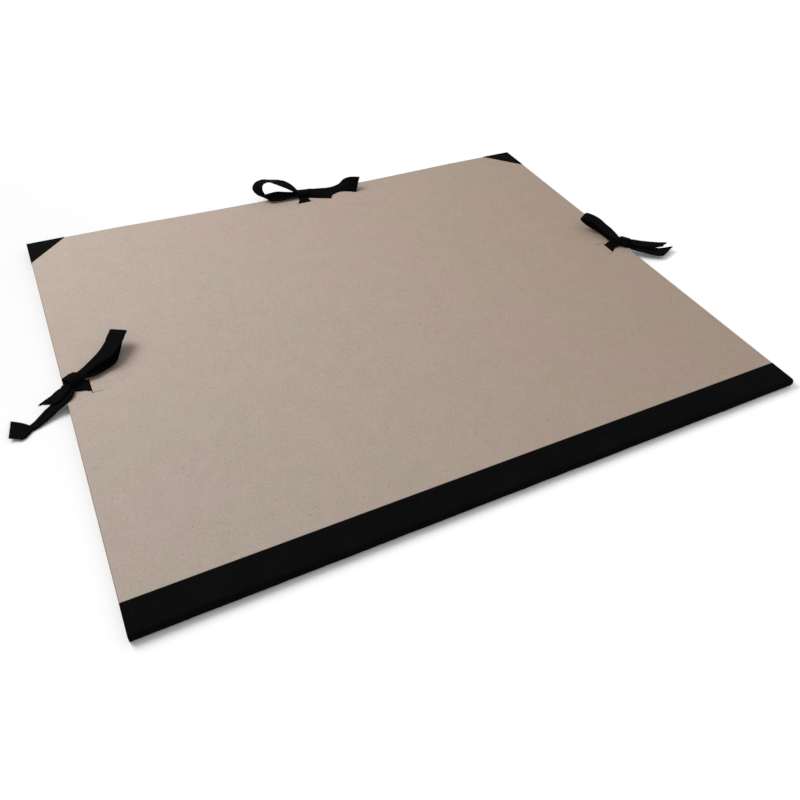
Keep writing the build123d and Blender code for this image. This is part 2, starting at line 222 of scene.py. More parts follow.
# Stations of each free tape: out, along, up, heading and tilt of its width, share of its width
LOOPS = {
    LEFT: [
        LEFT.knot_exit(-1, -1), (-21, -15, 3.4, 116, 0, 0.62), (-30.5, -17, 3, 116, 0, 0.75),
        (-39.2, -22.6, 2.8, 118, 0, 0.9), (-49, -26.6, 4.2, 130, 0, 0.9),
        (-54.6, -36.2, 7, 147, 0, 0.9), (-57.8, -42.7, 9.6, 151, 0, 0.9),
        (-63.4, -53.2, 12.8, 151, 0, 0.88), (-67.9, -58.5, 14.4, 151, 0, 0.87),
        (-68.5, -59.5, 15.5, 151, 0, 0.87), (-67.9, -58.5, 16.5, 151, 0, 0.87),
        (-62.3, -47.2, 16.5, 146, 0, 0.87), (-55.9, -37.6, 15.4, 138, 0, 0.85),
        (-49.4, -30.2, 14, 132, 0, 0.83), (-41.3, -25.7, 12, 121, 0, 0.7),
        (-32.7, -22.6, 9.5, 112, 0, 0.56), (-24.5, -18.1, 7.5, 108, 0, 0.5), LEFT.knot_exit(-1, 1),
    ],
    MOUTH: [
        MOUTH.knot_exit(-1, -1), (-7, 6.1, 3.9, -14, 8, 0.6), (-5, 17.5, 3.9, -14, 13, 0.75),
        (-3.5, 30.6, 4.7, -9, 15, 0.88), (-2, 39.8, 4.1, -1, 5, 0.9), (0, 46.8, 4.4, 14, -8, 0.9),
        (2.5, 52.4, 9.8, 30, -12, 0.9), (5, 55.4, 17.8, 33, -9, 0.9), (6.5, 52.4, 24, 22, -13, 0.9),
        (7.5, 42.8, 26.7, 15, -14, 0.9), (7, 31.1, 23.4, 4, -8, 0.9),
        (5.5, 20.9, 20.4, -8, 2, 0.86), (2, 12.7, 17.4, -13, 10, 0.78),
        (-2, 4.9, 12.6, -16, 12, 0.62), MOUTH.knot_exit(-1, 1),
    ],
    RIGHT: [
        RIGHT.knot_exit(-1, -1), (-9, 18.5, 3, 32, 0, 0.75), (-7.5, 31, 2.4, 28, 0, 0.9),
        (-10, 42.5, 3.6, 28, 0, 0.9), (-17.5, 50.5, 7.4, 28, 0, 0.9),
        (-23.8, 58.3, 11.5, 30, 0, 0.9), (-26.6, 63.4, 14.8, 32, 0, 0.9),
        (-27.1, 64, 16, 32, 0, 0.9), (-26.2, 63, 17.3, 32, 0, 0.9),
        (-20.8, 55.3, 17.8, 28, 0, 0.9), (-15.6, 46, 16, 28, 0, 0.9),
        (-12.6, 35.6, 13, 28, 0, 0.9), (-8.4, 23.6, 9.6, 30, 0, 0.85), RIGHT.knot_exit(-1, 1),
    ],
}
LONG_TAILS = {
    LEFT: [
        LEFT.knot_exit(1, -1), (-1.5, 6.6, 3, 125, 0, 0.68), (5.4, 11.4, 1, 118, 0, 0.7),
        (11.9, 14.7, -1.5, 122, 0, 0.58), (19.7, 18.7, -4, 120, 0, 0.58),
        (26.8, 23, -5.8, 114, 0, 0.52), (32.5, 26.8, -6.7, 112, 0, 0.45),
        (37.4, 29.2, -6.9, 90, 0, 0.45), (42.6, 33, -6.8, 66, 0, 0.92),
        (48.8, 29.4, -6.4, 68, 0, 1.06), (55.7, 26.2, -5.2, 79, 0, 1.16),
    ],
    MOUTH: [
        MOUTH.knot_exit(1, 1), (-6.2, -13.1, 5.1, -22, 17, 0.61), (-8.5, -23.5, 4.2, -17, 12, 0.78),
        (-11.1, -33.9, 3.5, -13, 13, 0.88), (-11.6, -44.1, 2.8, -11, 10, 0.9),
        (-9.5, -54.9, 2.2, -18, 9, 0.91), (-7.1, -63.9, 2.9, -24, 14, 0.92),
        (-8, -69.8, 5.2, -22, 30, 1), (-13, -76.6, 8.2, -22, 48, 1.03),
        (-19.4, -88.2, 8.4, -43, 49, 1.14),
    ],
    RIGHT: [
        RIGHT.knot_exit(1, -1), (6.6, -5.6, 2.6, 40, 0, 0.82), (17.4, -13.6, 0.6, 46, 0, 0.95),
        (28, -20.8, -1.8, 48, 0, 1), (38.6, -26.7, -3.4, 44, 0, 1.04),
        (53, -30, -3.3, 24, 4, 1.4),
    ],
}
SHORT_TAILS = {
    LEFT: [
        LEFT.knot_exit(1, 1), (0.3, 2, 5, 96, 0, 0.6), (5.7, 4.8, 3.4, 101, 0, 0.72),
        (12.5, 7.6, 1.6, 112, 0, 0.6), (16.2, 8.5, 0.4, 134, 0, 0.62),
        (19.7, 9.8, -0.6, 158, 0, 0.7),
    ],
    MOUTH: [
        MOUTH.knot_exit(1, -1), (-10.4, -14.4, 3, -36, 12, 0.5), (-12.5, -26, 1.8, -34, 6, 0.76),
        (-16.5, -37.4, 1.3, -36, 4, 0.9), (-20.3, -47.2, 0.8, -34, 1, 0.95),
    ],
    RIGHT: [
        RIGHT.knot_exit(1, 1), (6.1, -1, 5.6, 40, 0, 0.68), (18.9, -8.4, 4.4, 42, 0, 0.75),
        (31.5, -14.2, 3.2, 40, 0, 0.76), (44.5, -17.4, 1.8, 36, 0, 0.66),
        (54.6, -19.1, 1, 24, 0, 0.6),
    ],
}


class BoardSettings(bpy.types.PropertyGroup):
    colour: FloatVectorProperty(
        name="Board colour", description="Recycled grey board", subtype="COLOR",
        default=(0.435, 0.353, 0.298))
    speck_colour: FloatVectorProperty(
        name="Speck colour", description="Dark specks in the pulp", subtype="COLOR",
        default=(0.16, 0.115, 0.09))
    edge_darkening: FloatProperty(
        name="Edge darkening", description="Share of its brightness that the handled rim keeps",
        subtype="FACTOR", default=0.6)
    softness: FloatProperty(
        name="Edge softness", description="Rounding of the cut edges", unit="LENGTH",
        default=0.25 * MM, precision=5)
    mouth_drop: FloatProperty(
        name="Mouth drop", description="How far the mouth tie pulls the cover down at its edge",
        unit="LENGTH", default=3.4 * MM, precision=5)


class ClothSettings(bpy.types.PropertyGroup):
    colour: FloatVectorProperty(
        name="Cloth colour", description="Black bookcloth", subtype="COLOR",
        default=(0.0034, 0.0034, 0.0034))
    thread_pitch: FloatProperty(
        name="Thread pitch", description="Distance between threads", unit="LENGTH",
        default=0.45 * MM, precision=5)
    waviness: FloatProperty(
        name="Waviness", description="Unevenness of the spine's turn", unit="LENGTH",
        default=0.25 * MM, precision=5)


class TapeSettings(bpy.types.PropertyGroup):
    colour: FloatVectorProperty(
        name="Tape colour", description="Black cotton tape", subtype="COLOR",
        default=(0.0026, 0.0026, 0.0028))
    width: FloatProperty(
        name="Tape width", description="Width of the flat tape", unit="LENGTH",
        default=20 * MM, precision=5)
    rib_pitch: FloatProperty(
        name="Rib pitch", description="Distance between the tape's ribs", unit="LENGTH",
        default=0.5 * MM, precision=5)
    fold_radius: FloatProperty(
        name="Fold radius", description="Radius of the turn of a gathered tape's edges",
        unit="LENGTH", default=0.8 * MM, precision=5)
    thread_length: FloatProperty(
        name="Thread length", description="Longest loose thread at a tape's cut end", unit="LENGTH",
        default=2.2 * MM, precision=5)


class StageSettings(bpy.types.PropertyGroup):
    lens: FloatProperty(
        name="Lens", description="Focal length", unit="CAMERA", default=32.91)
    key_power: FloatProperty(
        name="Key power", description="Lamp behind the left corner", unit="POWER", default=17.1)
    room_light: FloatProperty(
        name="Room light", description="Strength of the even light all round", default=0.5)
    white_level: FloatProperty(
        name="White level", description="How bright the camera sees the floor out of the shadows",
        default=1.07)


def place(tree, kind, inputs=None, **settings):
    """A new node with its settings, and its inputs set to values or joined to sockets."""
    node = tree.nodes.new(kind)
    for name, value in settings.items():
        setattr(node, name, value)
    for name, value in (inputs or {}).items():
        if isinstance(value, bpy.types.NodeSocket):
            tree.links.new(value, node.inputs[name])
        else:
            node.inputs[name].default_value = value
    return node


def calculate(tree, operation, first, second=0.0, clamp=False):
    node = place(tree, "ShaderNodeMath", {0: first, 1: second}, operation=operation,
                 use_clamp=clamp)
    return node.outputs[0]


def fade(tree, value, start, end, low=0.0, high=1.0):
    """A smooth change from low at start to high at end."""
    node = place(
        tree, "ShaderNodeMapRange",
        {"Value": value, "From Min": start, "From Max": end, "To Min": low, "To Max": high},
        interpolation_type="SMOOTHSTEP")
    return node.outputs[0]


def tint(tree, amount, first, second, how="MIX"):
    """One colour mixed with another by an amount."""
    first, second = (colour if isinstance(colour, bpy.types.NodeSocket) else (*colour, 1)
                     for colour in (first, second))
    node = place(tree, "ShaderNodeMix", {0: amount, 6: first, 7: second}, data_type="RGBA",
                 blend_type=how)
    return node.outputs[2]


def shader_group(name, inputs, outputs):
    """An empty shader group, with its input and output nodes."""
    group = bpy.data.node_groups.new(name, "ShaderNodeTree")
    for socket, value in inputs.items():
        kind = "NodeSocketVector" if value is None else "NodeSocketFloat"
        item = group.interface.new_socket(socket, in_out="INPUT", socket_type=kind)
        if value is not None:
            item.default_value = value
    for socket in outputs:
        group.interface.new_socket(socket, in_out="OUTPUT", socket_type="NodeSocketFloat")
    source = group.nodes.new("NodeGroupInput")
    sink = group.nodes.new("NodeGroupOutput")
    return group, source.outputs, sink.inputs


def use(tree, group, inputs):
    """The outputs of a shader group, placed in a tree with its inputs."""
    return place(tree, "ShaderNodeGroup", inputs, node_tree=group).outputs


def pulp_group():
    """Mottled paper pulp: cloudy tone, fine grain and a height for the bump."""
    group, given, result = shader_group(
        "Paper Pulp", {"Vector": None, "Cloud Scale": 60.0, "Mottle Scale": 620.0,
                       "Grain Scale": 1500.0}, ["Tone", "Height"])
    layers = []
    for scale, detail, share in (("Cloud Scale", 2.0, 0.12), ("Mottle Scale", 2.0, 0.46),
                                 ("Grain Scale", 1.0, 0.42)):
        noise = place(group, "ShaderNodeTexNoise", {
            "Vector": given["Vector"], "Scale": given[scale], "Detail": detail, "Roughness": 0.6})
        spread = fade(group, noise.outputs["Fac"], 0.3, 0.7)
        layers.append(calculate(group, "MULTIPLY", spread, share))
    cloudy, mottled, grainy = layers
    tone = calculate(group, "ADD", calculate(group, "ADD", cloudy, mottled), grainy)
    group.links.new(tone, result["Tone"])
    group.links.new(calculate(group, "ADD", mottled, grainy), result["Height"])
    return group


def flecks_group():
    """Short curved marks scattered on a flat surface, one to a cell: fibres, specks and lint."""
    group, given, result = shader_group(
        "Flecks", {"Vector": None, "Cell": 0.02, "Length": 0.1, "Width": 0.02, "Share": 0.5,
                   "Offset": 0.0}, ["Mask"])
    size = place(group, "ShaderNodeVectorMath", {0: given["Vector"]}, operation="SCALE")
    group.links.new(calculate(group, "DIVIDE", 1.0, given["Cell"]), size.inputs["Scale"])
    moved = place(group, "ShaderNodeVectorMath", {0: size.outputs[0], 1: given["Offset"]},
                  operation="ADD")
    cells = place(group, "ShaderNodeTexVoronoi", {"Vector": moved.outputs[0], "Scale": 1.0},
                  voronoi_dimensions="2D")
    apart = place(group, "ShaderNodeVectorMath",
                  {0: moved.outputs[0], 1: cells.outputs["Position"]}, operation="SUBTRACT")
    chance = place(group, "ShaderNodeSeparateColor", {0: cells.outputs["Color"]})
    turned = place(group, "ShaderNodeVectorRotate", {"Vector": apart.outputs[0]},
                   rotation_type="Z_AXIS")
    group.links.new(calculate(group, "MULTIPLY", chance.outputs[0], 2 * pi), turned.inputs["Angle"])
    axes = place(group, "ShaderNodeSeparateXYZ", {0: turned.outputs[0]})
    curve = calculate(group, "MULTIPLY", calculate(group, "SUBTRACT", chance.outputs[1], 0.5), 8.0)
    bow = calculate(group, "MULTIPLY", calculate(group, "POWER", axes.outputs[0], 2.0), curve)
    side = calculate(group, "ABSOLUTE", calculate(group, "SUBTRACT", axes.outputs[1], bow))
    reach = calculate(group, "ABSOLUTE", axes.outputs[0])
    thin = fade(group, calculate(group, "DIVIDE", side, given["Width"]), 0.4, 1.0, 1.0, 0.0)
    short = fade(group, calculate(group, "DIVIDE", reach, given["Length"]), 0.7, 1.0, 1.0, 0.0)
    there = calculate(group, "LESS_THAN", chance.outputs[2], given["Share"])
    mask = calculate(group, "MULTIPLY", calculate(group, "MULTIPLY", thin, short), there)
    group.links.new(mask, result["Mask"])
    return group


def weave_group():
    """Crossing threads: a repeat of 2 is a plain weave and 4 a twill."""
    group, given, result = shader_group(
        "Weave", {"Vector": None, "Pitch": 0.0005, "Repeat": 2.0}, ["Height", "Warp"])
    axes = place(group, "ShaderNodeSeparateXYZ", {0: given["Vector"]})
    across = calculate(group, "DIVIDE", axes.outputs[0], given["Pitch"])
    along = calculate(group, "DIVIDE", axes.outputs[1], given["Pitch"])
    crown = [calculate(group, "SINE",
                       calculate(group, "MULTIPLY", calculate(group, "FRACT", way), pi))
             for way in (across, along)]
    cell = calculate(group, "ADD", calculate(group, "FLOOR", across),
                     calculate(group, "FLOOR", along))
    step = calculate(group, "FLOORED_MODULO", cell, given["Repeat"])
    warp = calculate(group, "LESS_THAN", step, calculate(group, "DIVIDE", given["Repeat"], 2.0))
    over = [calculate(group, "MULTIPLY", first,
                      calculate(group, "ADD", calculate(group, "MULTIPLY", second, 0.4), 0.6))
            for first, second in (crown, crown[::-1])]
    height = place(group, "ShaderNodeMix", {0: warp}, data_type="FLOAT")
    group.links.new(over[1], height.inputs[2])
    group.links.new(over[0], height.inputs[3])
    group.links.new(height.outputs[0], result["Height"])
    group.links.new(warp, result["Warp"])
    return group


def new_finish(name):
    """A new material, its node tree and its shader."""
    finish = bpy.data.materials.new(name)
    finish.use_nodes = True
    return finish, finish.node_tree, finish.node_tree.nodes["Principled BSDF"]


def bump(tree, shader, height, strength, distance):
    node = place(tree, "ShaderNodeBump",
                 {"Height": height, "Strength": strength, "Distance": distance})
    tree.links.new(node.outputs[0], shader.inputs["Normal"])


def greyboard(settings, groups):
    """Recycled grey board: mottled pulp with dark specks and pale and dark fibres."""
    finish, tree, shader = new_finish("Greyboard")
    where = place(tree, "ShaderNodeTexCoord").outputs["Object"]
    pulp = use(tree, groups["pulp"], {"Vector": where})
    marks = {
        "speck": {"Cell": 0.018, "Length": 0.04, "Width": 0.03, "Share": 0.4, "Offset": 0.0},
        "dot": {"Cell": 0.006, "Length": 0.07, "Width": 0.055, "Share": 0.3, "Offset": 7.3},
        "dark": {"Cell": 0.012, "Length": 0.13, "Width": 0.016, "Share": 0.3, "Offset": 3.1},
        "pale": {"Cell": 0.008, "Length": 0.18, "Width": 0.02, "Share": 0.45, "Offset": 5.7},
    }
    masks = {name: use(tree, groups["flecks"], {"Vector": where, **values})["Mask"]
             for name, values in marks.items()}
    base = np.array(settings.colour)
    colour = tint(tree, pulp["Tone"], base * (0.85, 0.845, 0.84), base * (1.15, 1.155, 1.16))
    for scale in (9.0, 80.0):
        patches = place(tree, "ShaderNodeTexNoise",
                        {"Vector": where, "Scale": scale, "Detail": 1.0})
        green = fade(tree, patches.outputs["Fac"], 0.3, 0.7)
        colour = tint(tree, green, tint(tree, 1.0, colour, PINKER, "MULTIPLY"),
                      tint(tree, 1.0, colour, GREENER, "MULTIPLY"))
    dark = np.array(settings.speck_colour)
    for name, amount, shade in (("pale", 0.3, base * 1.25), ("dark", 0.35, dark),
                                ("dot", 0.22, dark), ("speck", 0.7, dark)):
        colour = tint(tree, calculate(tree, "MULTIPLY", masks[name], amount), colour, shade)
    axes = place(tree, "ShaderNodeSeparateXYZ", {0: where})
    # Painted sheen: greyer towards the left, where the lamp's reflection lies, browner towards the
    # right
    painted_sheen_drift = fade(tree, axes.outputs[0], -SIDE_X, SIDE_X)
    colour = tint(tree, painted_sheen_drift, tint(tree, 1.0, colour, PAINTED_SHEEN_GREY_END, "MULTIPLY"),
                  tint(tree, 1.0, colour, PAINTED_SHEEN_BROWN_END, "MULTIPLY"))
    # The board is darker in a rim along its side and mouth edges
    sides = fade(tree, calculate(tree, "ABSOLUTE", axes.outputs[0]), SIDE_X - RIM_FROM,
                 SIDE_X - RIM_TO)
    mouth = fade(tree, axes.outputs[1], MOUTH_Y - RIM_FROM, MOUTH_Y - RIM_TO)
    darkened = calculate(tree, "MULTIPLY", calculate(tree, "MAXIMUM", sides, mouth),
                        calculate(tree, "ADD", 0.35, pulp["Tone"]), clamp=True)
    colour = tint(tree, darkened, colour, base * settings.edge_darkening)
    tree.links.new(colour, shader.inputs["Base Color"])
    tree.links.new(fade(tree, pulp["Tone"], 0.0, 1.0, 0.97, 0.88), shader.inputs["Roughness"])
    shader.inputs["Specular IOR Level"].default_value = BOARD_GLOSS
    height = calculate(tree, "ADD", pulp["Height"], calculate(tree, "MULTIPLY", masks["pale"], 0.8))
    bump(tree, shader, height, 0.25, THREAD_RELIEF)
    return finish


def woven(name, groups, settings, pitch, repeat, coordinates, painted_crown_light):
    """Black cloth or tape: crossing threads with a little lint."""
    finish, tree, shader = new_finish(name)
    if coordinates == "UV":
        where = place(tree, "ShaderNodeUVMap", uv_map="Cloth").outputs[0]
    else:
        where = place(tree, "ShaderNodeTexCoord").outputs["Object"]
    threads = use(tree, groups["weave"], {"Vector": where, "Pitch": pitch, "Repeat": repeat})
    lint = use(tree, groups["flecks"], {
        "Vector": where, "Cell": 0.018, "Length": 0.035, "Width": 0.02, "Share": 0.1})["Mask"]
    fluff = use(tree, groups["flecks"], {
        "Vector": where, "Cell": 0.024, "Length": 0.12, "Width": 0.012, "Share": 0.2,
        "Offset": 4.4})["Mask"]
    wear = place(tree, "ShaderNodeTexNoise", {"Vector": where, "Scale": 30.0, "Detail": 3.0})
    base = np.array(settings.colour)
    # Painted shade and highlight: the hollows between threads are darker and the crowns lighter, by
    # the threads' height
    painted_weave_shade = fade(tree, threads["Height"], 0.2, 1.0)
    colour = tint(tree, painted_weave_shade, base * 0.7, base * painted_crown_light)
    colour = tint(tree, fade(tree, wear.outputs["Fac"], 0.45, 0.75, 0.0, 0.35), colour, base * 2.0)
    colour = tint(tree, calculate(tree, "MULTIPLY", lint, 0.4), colour, (0.06, 0.056, 0.05))
    colour = tint(tree, calculate(tree, "MULTIPLY", fluff, 0.25), colour, (0.03, 0.03, 0.03))
    tree.links.new(colour, shader.inputs["Base Color"])
    tree.links.new(fade(tree, threads["Height"], 0.0, 1.0, 0.95, 0.8), shader.inputs["Roughness"])
    shader.inputs["Specular IOR Level"].default_value = COTTON_GLOSS
    bump(tree, shader, threads["Height"], 0.5, THREAD_RELIEF)
    return finish


def loose_thread(settings):
    """Black cotton thread, a little paler towards its fluffy parts."""
    finish, tree, shader = new_finish("Loose Thread")
    where = place(tree, "ShaderNodeTexCoord").outputs["Object"]
    fluff = place(tree, "ShaderNodeTexNoise", {"Vector": where, "Scale": 900.0, "Detail": 2.0})
    base = np.array(settings.colour)
    shade = tint(tree, fade(tree, fluff.outputs["Fac"], 0.35, 0.65), base, base * 3)
    tree.links.new(shade, shader.inputs["Base Color"])
    rough = fade(tree, fluff.outputs["Fac"], 0.3, 0.7, 0.85, 1.0)
    tree.links.new(rough, shader.inputs["Roughness"])
    shader.inputs["Specular IOR Level"].default_value = COTTON_GLOSS
    return finish


def shared_groups():
    """The shader groups that the finishes share, made the first time that they are needed."""
    makers = {"pulp": ("Paper Pulp", pulp_group), "flecks": ("Flecks", flecks_group),
              "weave": ("Weave", weave_group)}
    return {key: bpy.data.node_groups.get(name) or make() for key, (name, make) in makers.items()}


def material(name):
    """One of the portfolio's finishes, made the first time that it is asked for."""
    if name in bpy.data.materials:
        return bpy.data.materials[name]
    scene = bpy.context.scene
    groups = shared_groups()
    cloth, cotton = scene.portfolio_cloth, scene.portfolio_tapes
    if name == "Greyboard":
        return greyboard(scene.portfolio_boards, groups)
    if name == "Loose Thread":
        return loose_thread(cotton)
    kinds = {
        "Bookcloth": (cloth, cloth.thread_pitch, 2.0, "Object", 1.3),
        "Bookcloth Strip": (cloth, cloth.thread_pitch, 2.0, "UV", 1.3),
        "Cotton Tape": (cotton, cotton.rib_pitch, 4.0, "UV", 1.5),
    }
    return woven(name, groups, *kinds[name])


def finished(name, mesh, finish, smooth_angle=50):
    """A mesh as an object with its finish."""
    piece = bpy.data.objects.new(name, mesh)
    bpy.context.scene.collection.objects.link(piece)
    mesh.materials.append(material(finish))
    mesh.shade_smooth()
    mesh.set_sharp_from_angle(angle=radians(smooth_angle))
    return piece


def press_down(shape):
    """Divide the cover's mesh into a grid and lower what the mouth tie pulls down."""
    for axis, ends in ((0, (-PRESSED_REACH, PRESSED_REACH)), (1, (SPINE_Y, MOUTH_Y))):
        for at in np.linspace(*ends, PRESSED_CELLS + 1)[1:-1]:
            where = [0.0, 0.0, 0.0]
            where[axis] = at
            bmesh.ops.bisect_plane(
                shape, geom=[*shape.verts, *shape.edges, *shape.faces], plane_co=where,
                plane_no=[float(axis == k) for k in range(3)])
    for vertex, lowered in zip(shape.verts, pressed(np.array([v.co for v in shape.verts]))):
        vertex.co = lowered


def softened(node, name, finish, softness):
    """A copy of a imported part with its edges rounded, in place of it."""
    shape = bmesh.new()
    shape.from_mesh(frame["nodes"][node].data)
    bmesh.ops.remove_doubles(shape, verts=shape.verts, dist=0.001 * MM)
    bmesh.ops.dissolve_limit(shape, angle_limit=radians(1), verts=shape.verts, edges=shape.edges)
    if node == "front_board":
        press_down(shape)
    mesh = bpy.data.meshes.new(name)
    shape.to_mesh(mesh)
    shape.free()
    mesh.materials.clear()
    piece = finished(name, mesh, finish)
    rounding = piece.modifiers.new("Rounding", "BEVEL")
    rounding.width = softness
    rounding.segments = 2
    rounding.limit_method = "ANGLE"
    rounding.harden_normals = True
    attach(piece, frame["nodes"][node]["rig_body"])
    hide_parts(node)
    return piece


def sheet_mesh(name, places, flat, thick):
    """A closed mesh of a thin sheet, from a grid of places on its middle surface.

    flat gives each place where it was on the flat cloth, for the weave.
    """
    rows, columns = places.shape[:2]
    side = unit(np.gradient(places, axis=1))
    normal = unit(np.cross(np.gradient(places, axis=0), side))
    upper, lower = places + normal * thick / 2, places - normal * thick / 2
    first = places[:, :1] - side[:, :1] * thick / 3
    last = places[:, -1:] + side[:, -1:] * thick / 3
    rings = np.concatenate((upper, last, lower[:, ::-1], first), axis=1)
    flats = np.concatenate((flat, flat[:, -1:], flat[:, ::-1], flat[:, :1]), axis=1)
    count = rings.shape[1]
    right, left = columns, 2 * columns + 1

    def under(i):
        return 2 * columns - i

    faces = []
    for r in range(rows - 1):
        for k in range(count):
            j = (k + 1) % count
            faces.append((r * count + k, (r + 1) * count + k, (r + 1) * count + j, r * count + j))
    start_cap = [(i, i + 1, under(i + 1), under(i)) for i in range(columns - 1)]
    start_cap += [(columns - 1, right, under(columns - 1)), (left, 0, under(0))]
    end = (rows - 1) * count
    faces += start_cap + [tuple(end + k for k in face[::-1]) for face in start_cap]
    mesh = bpy.data.meshes.new(name)
    mesh.from_pydata(rings.reshape(-1, 3).tolist(), [], faces)
    corners = np.empty(len(mesh.loops), np.int32)
    mesh.loops.foreach_get("vertex_index", corners)
    cloth = mesh.uv_layers.new(name="Cloth")
    cloth.data.foreach_set("uv", flats.reshape(-1, 2)[corners].astype(np.float32).ravel())
    return mesh


def smooth_line(rows):
    """A smooth line through rows of numbers whose first three are a place.

    Returns its length and a function that reads it at distances along it.
    """
    rows = np.array(rows, float)
    gaps = np.linalg.norm(np.diff(rows[:, :3], axis=0), axis=1)
    at = np.concatenate(([0.0], np.cumsum(gaps)))
    slope = np.gradient(rows, at, axis=0)

    def read(distance):
        i = np.clip(np.searchsorted(at, distance, side="right") - 1, 0, len(at) - 2)
        gap = (at[i + 1] - at[i])[..., None]
        t = (distance - at[i])[..., None] / gap
        return ((1 + 2 * t) * (1 - t) ** 2 * rows[i] + t * (1 - t) ** 2 * gap * slope[i]
                + t * t * (3 - 2 * t) * rows[i + 1] + t * t * (t - 1) * gap * slope[i + 1])

    return at[-1], read


def folded_under(u, share, half, radius):
    """Where points across a tape lie, sideways and below, when it keeps a share of its width."""
    flat = np.abs(u) * half
    lost = np.maximum(half * (1 - share), 0)
    turn = np.maximum(np.minimum(radius, 1.3 * lost), 1e-9)
    beyond = np.maximum(flat - (half - lost - turn), 0)
    angle = np.minimum(beyond / turn, pi)
    sideways = flat - beyond + turn * np.sin(angle) - np.maximum(beyond - pi * turn, 0)
    return np.sign(u) * sideways * np.maximum(share, 1), turn * (1 - np.cos(angle))


def tape_places(tie, stations):
    """A tape's middle surface, where its places were on the flat tape, and its length.

    Its edges are folded under where it is gathered.
    """
    settings = bpy.context.scene.portfolio_tapes
    length, read = smooth_line([(*tie.point(*station[:3]), *tie.direction(*station[3:5]),
                                 station[5]) for station in stations])
    u = np.linspace(-1, 1, TAPE_COLUMNS)
    distance = np.linspace(0, length, int(length / TAPE_STEP))[:, None]
    here = read(distance)
    ahead, behind = read(distance + TAPE_STEP / 2), read(distance - TAPE_STEP / 2)
    across = unit(here[..., 3:6])
    normal = unit(np.cross(ahead[..., :3] - behind[..., :3], across))
    half = settings.width / 2
    radius = settings.fold_radius * np.where(u < 0, 1.0, 1.35)
    sideways, under = folded_under(u, np.maximum(here[..., 6], 0.3), half, radius)
    places = here[..., :3] + across * sideways[..., None] - normal * under[..., None]
    flat = np.stack(np.broadcast_arrays(u * half, distance), axis=-1)
    return pressed(places), flat, length


def tape(tie, name, stations, body):
    """A piece of tape through its stations, made as a thin sheet and put on its body."""
    places, flat, length = tape_places(tie, stations)
    piece = finished(name, sheet_mesh(name, places, flat, TAPE_THICK), "Cotton Tape")
    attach(piece, body)
    return piece


class PORTFOLIO_OT_boards(bpy.types.Operator):
    """Add the two grey boards with their rounded edges"""

    bl_idname = "portfolio.boards"
    bl_label = "Boards"

    def execute(self, context):
        softness = context.scene.portfolio_boards.softness
        softened("front_board", "cover_greyboard", "Greyboard", softness)
        softened("back_board", "back_greyboard", "Greyboard", softness)
        return {"FINISHED"}


def turn_points(radius, count=19):
    """The spine's flattened turn, from the back board's level to the cover's."""
    angles = np.linspace(-pi / 2, -3 * pi / 2, count)
    return [(TURN_Y + SPINE_FLATNESS * radius * cos(a), MIDDLE + radius * sin(a)) for a in angles]


def strip(name, band, radius, waviness, parts):
    """Add a strip of cloth the length of the spine.

    The band is its profile on the back board, as places in Y and Z. The radius is that of its
    turn, and the cover's side mirrors the back's.
    """
    profile = np.array(band + turn_points(radius) + [(y, TOP - z) for y, z in band[::-1]])
    gaps = np.linalg.norm(np.diff(profile, axis=0), axis=1)
    reach = np.concatenate(([0.0], np.cumsum(gaps)))
    x = np.linspace(-SIDE_X, SIDE_X, STRIP_PLACES)
    places = np.empty((len(x), len(profile), 3))
    round_off = np.clip((SPINE_Y + SPINE_ROUND - profile[:, 0]) / SPINE_ROUND, 0, 1)
    inset = SPINE_ROUND * (1 - np.sqrt(1 - round_off ** 2))
    places[..., 0] = x[:, None] * (1 - inset / SIDE_X)
    places[..., 1:] = profile
    turn = np.clip((TURN_Y - profile[:, 0]) / MIDDLE, 0, 1)
    wave = 0.6 * np.sin(x * 71 + 1.3) + 0.4 * np.sin(x * 173 + 0.4) - 0.4
    places[..., 1] += -waviness * wave[:, None] * turn
    flat = np.stack(np.broadcast_arrays(reach, x[:, None]), axis=-1)
    piece = finished(name, sheet_mesh(name, places, flat, CLOTH_THICK), "Bookcloth Strip",
                     40)
    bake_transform(piece)
    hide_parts(f"{parts}_back", f"{parts}_front")


class PORTFOLIO_OT_spine(bpy.types.Operator):
    """Add the spine cloth, one strip from the back board round to the cover"""

    bl_idname = "portfolio.spine"
    bl_label = "Spine cloth"

    def execute(self, context):
        half = CLOTH_THICK / 2
        band = [(y, half) for y in np.linspace(SPINE_HIGH.y + BAND_OVER, TURN_Y, 12)[:-1]]
        strip("spine_bookcloth", band, MIDDLE - half, context.scene.portfolio_cloth.waviness,
              "spine_cloth")
        return {"FINISHED"}


class PORTFOLIO_OT_lining(bpy.types.Operator):
    """Add the inner strip that lines the hinge and laps on to both boards"""

    bl_idname = "portfolio.lining"
    bl_label = "Hinge lining"

    def execute(self, context):
        half = CLOTH_THICK / 2
        face, low = BACK_HIGH.z + half, CLOTH_THICK + half
        edge = BOARD_EDGE_Y - half
        soft = 0.25 * MM
        band = [(y, face) for y in np.linspace(LINING_REACH_Y, edge + soft, 10)]
        band += [(edge + 0.3 * soft, face - 0.3 * soft), (edge, face - soft),
                 (edge, low + soft), (edge - 0.3 * soft, low + 0.3 * soft)]
        strip("hinge_lining_strip", band, MIDDLE - CLOTH_THICK - half, 0.0,
              "hinge_lining")
        return {"FINISHED"}


class PORTFOLIO_OT_corners(bpy.types.Operator):
    """Add the four cloth corners"""

    bl_idname = "portfolio.corners"
    bl_label = "Corner cloths"

    def execute(self, context):
        for level in ("front", "back"):
            for side in ("left", "right"):
                piece = softened(f"corner_cloth_{level}_{side}", f"corner_wrap_{level}_{side}",
                                 "Bookcloth", CORNER_SOFTNESS)
        return {"FINISHED"}


